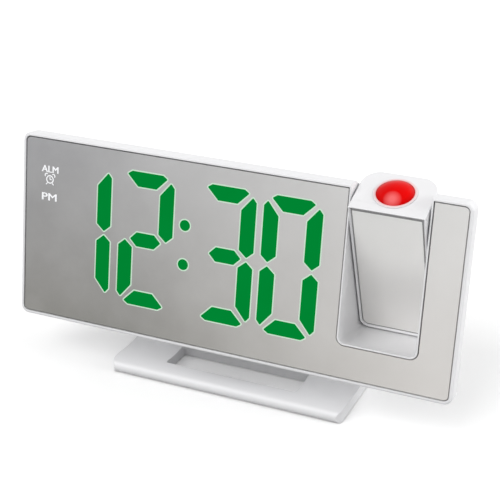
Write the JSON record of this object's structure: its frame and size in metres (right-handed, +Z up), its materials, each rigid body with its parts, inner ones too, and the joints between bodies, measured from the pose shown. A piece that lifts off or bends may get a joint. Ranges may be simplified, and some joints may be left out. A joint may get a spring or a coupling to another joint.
{
  "type": "projection alarm clock",
  "caption": "Desk clock with a leaning mirror display, green digits, a swing-out projector arm in a slot, rear buttons, and a tilting stand with a window.",
  "frame": {"origin": "on the ground, at the middle of the stand's footprint", "axes": "+Z up; the display faces -Y; +X towards the projector arm"},
  "size_m": [0.1872, 0.054, 0.0961],
  "materials": {
    "white_shell": "glossy moulded ABS",
    "white_trim": "satin moulded plastic",
    "mirror_face": "half-silvered acrylic mirror",
    "green_light": "lit green segments",
    "diffuser_film": "frosted film",
    "white_reflector": "matte white moulding",
    "black_plastic": "matte black moulding",
    "led_body": "clear resin over a pale package",
    "red_lens": "tinted translucent acrylic",
    "clear_lens": "polished",
    "dark_glass": "polished display cell",
    "board_green": "solder mask",
    "chip_black": "moulded packages",
    "steel": "zinc plated",
    "cell_steel": "bright nickel plate",
    "contact_brass": "sprung strip",
    "speaker_cone": "pressed cone and frame",
    "magnet_iron": "plated",
    "foot_rubber": "matte",
    "button_grey": "satin"
  },
  "bodies": {
    "stand": {"stand_base": "white_shell", "rubber_feet": "foot_rubber", "tilt_pin": "steel", "tilt_nuts": "steel", "tilt_washers": "steel"},
    "clock_head": {"front_frame": "white_shell", "rear_cover": "white_shell", "battery_cover": "white_shell", "speaker_grille": "white_shell", "mirror_panel": "mirror_face", "digit_segments": "green_light", "colon_dots": "green_light", "diffuser_sheet": "diffuser_film", "display_reflector": "white_reflector", "cell_tray": "black_plastic", "led_chips": "led_body", "main_board": "board_green", "switch_board": "board_green", "snooze_board": "board_green", "port_board": "board_green", "board_chips": "chip_black", "key_switches": "chip_black", "snooze_switch": "chip_black", "usb_tongue": "white_trim", "power_inlet": "chip_black", "usb_port": "steel", "case_screws": "steel", "battery_cover_screw": "steel", "pivot_sleeves": "black_plastic", "arm_washers": "black_plastic", "coin_cell": "cell_steel", "cell_contacts": "contact_brass", "speaker": "speaker_cone", "speaker_magnet": "magnet_iron"},
    "projector_arm": {"arm_front_shell": "white_shell", "arm_back_shell": "white_shell", "arm_mirror": "mirror_face", "arm_screws": "steel", "condenser_lens": "clear_lens", "slide_holder": "black_plastic", "display_slide": "dark_glass", "projector_led": "red_lens", "projector_board": "board_green"},
    "focus_ring": {"lens_barrel": "white_shell", "projection_lens": "red_lens"},
    "snooze_key": {"snooze_bar": "white_trim"},
    "projection_button_key": {"projection_button": "button_grey"},
    "down_button_key": {"down_button": "button_grey"},
    "up_button_key": {"up_button": "button_grey"},
    "alarm_button_key": {"alarm_button": "button_grey"},
    "time_set_button_key": {"time_set_button": "button_grey"}
  },
  "joints": [
    {"name": "head_tilt", "type": "hinge", "parent": "stand", "child": "clock_head", "pos_m": [0, 0.00365, 0.02814], "axis": [-1, 0, 0], "range_deg": [-15, 20]},
    {"name": "projector_tilt", "type": "hinge", "parent": "clock_head", "child": "projector_arm", "pos_m": [0.0628, -0.00228, 0.08055], "axis": [1, 0, 0], "range_deg": [-118, 0]},
    {"name": "lens_focus", "type": "hinge", "parent": "projector_arm", "child": "focus_ring", "pos_m": [0.0628, -0.00682, 0.08512], "axis": [0, -0.3262, 0.9453], "range_deg": [-90, 90]},
    {"name": "snooze_press", "type": "slide", "parent": "clock_head", "child": "snooze_key", "axis": [0, -0.5022, -0.8647], "range_m": [0, 0.0012], "stiffness_N_per_m": 400},
    {"name": "projection_press", "type": "slide", "parent": "clock_head", "child": "projection_button_key", "axis": [0, -0.9872, 0.1592], "range_m": [0, 0.001], "stiffness_N_per_m": 300},
    {"name": "down_press", "type": "slide", "parent": "clock_head", "child": "down_button_key", "axis": [0, -0.9872, 0.1592], "range_m": [0, 0.001], "stiffness_N_per_m": 300},
    {"name": "up_press", "type": "slide", "parent": "clock_head", "child": "up_button_key", "axis": [0, -0.9872, 0.1592], "range_m": [0, 0.001], "stiffness_N_per_m": 300},
    {"name": "alarm_press", "type": "slide", "parent": "clock_head", "child": "alarm_button_key", "axis": [0, -0.9872, 0.1592], "range_m": [0, 0.001], "stiffness_N_per_m": 300},
    {"name": "time_set_press", "type": "slide", "parent": "clock_head", "child": "time_set_button_key", "axis": [0, -0.9872, 0.1592], "range_m": [0, 0.001], "stiffness_N_per_m": 300}
  ]
}
